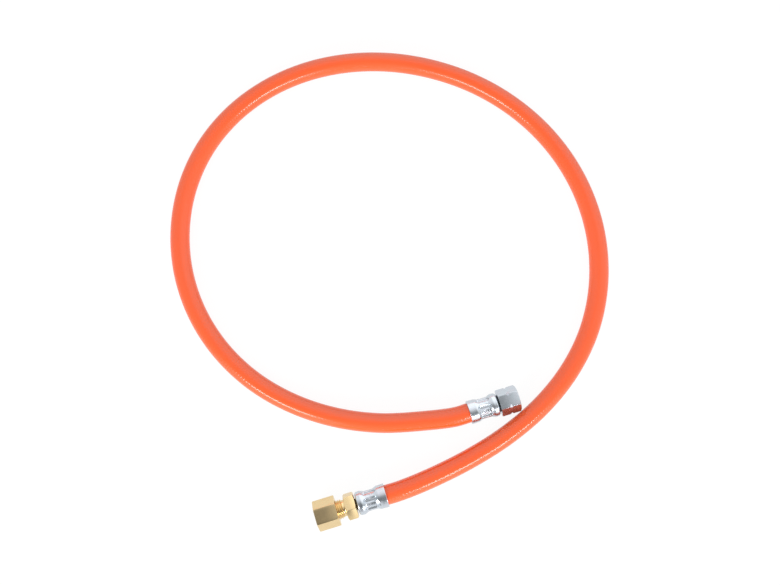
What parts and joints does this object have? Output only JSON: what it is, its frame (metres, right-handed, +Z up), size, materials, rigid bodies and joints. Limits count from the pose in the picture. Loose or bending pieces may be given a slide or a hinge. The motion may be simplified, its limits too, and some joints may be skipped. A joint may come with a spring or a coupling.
{
  "type": "flexible gas hose",
  "caption": "Flexible gas hose in a loose loop, with crimped ferrules, a left-hand swivel nut and a brass compression fitting for a pipe.",
  "frame": {"origin": "on the surface that the hose lies on, under the middle of its bounding box", "axes": "+Z up from that surface, +X the way the steel swivel nut's mouth faces (the brass fitting faces -X), +Y across the loop away from both fittings"},
  "size_m": [0.3172, 0.3399, 0.0192],
  "materials": {
    "hose_cover": "glossy extruded PVC, orange",
    "zinc_plate": "bright zinc plate over turned and pressed steel",
    "bright_brass": "turned brass, bright",
    "hard_steel": "hardened steel, zinc plated"
  },
  "bodies": {
    "root": {"hose": "hose_cover", "swivel_ferrule": "zinc_plate", "swivel_tail": "zinc_plate", "compression_ferrule": "zinc_plate", "compression_body": "bright_brass"},
    "swivel_nut": {"swivel_nut": "zinc_plate"},
    "cutting_ring": {"cutting_ring": "hard_steel"},
    "compression_nut": {"compression_nut": "bright_brass"}
  },
  "joints": [
    {"name": "swivel_nut_spin", "type": "hinge", "parent": "root", "child": "swivel_nut", "pos_m": [0.049, -0.1207, 0.0086], "axis": [1, 0, 0], "continuous": true},
    {"name": "cutting_ring_travel", "type": "slide", "parent": "root", "child": "cutting_ring", "axis": [-1, 0, 0], "range_m": [0, 0.0045]},
    {"name": "compression_nut_turn", "type": "hinge", "parent": "cutting_ring", "child": "compression_nut", "pos_m": [-0.1, -0.159, 0.00958], "axis": [-1, 0, 0], "range_deg": [0, 1080]}
  ],
  "couplings": [
    {"joint": "cutting_ring_travel", "follows": "compression_nut_turn", "m_per_rad": 0.00023873}
  ]
}
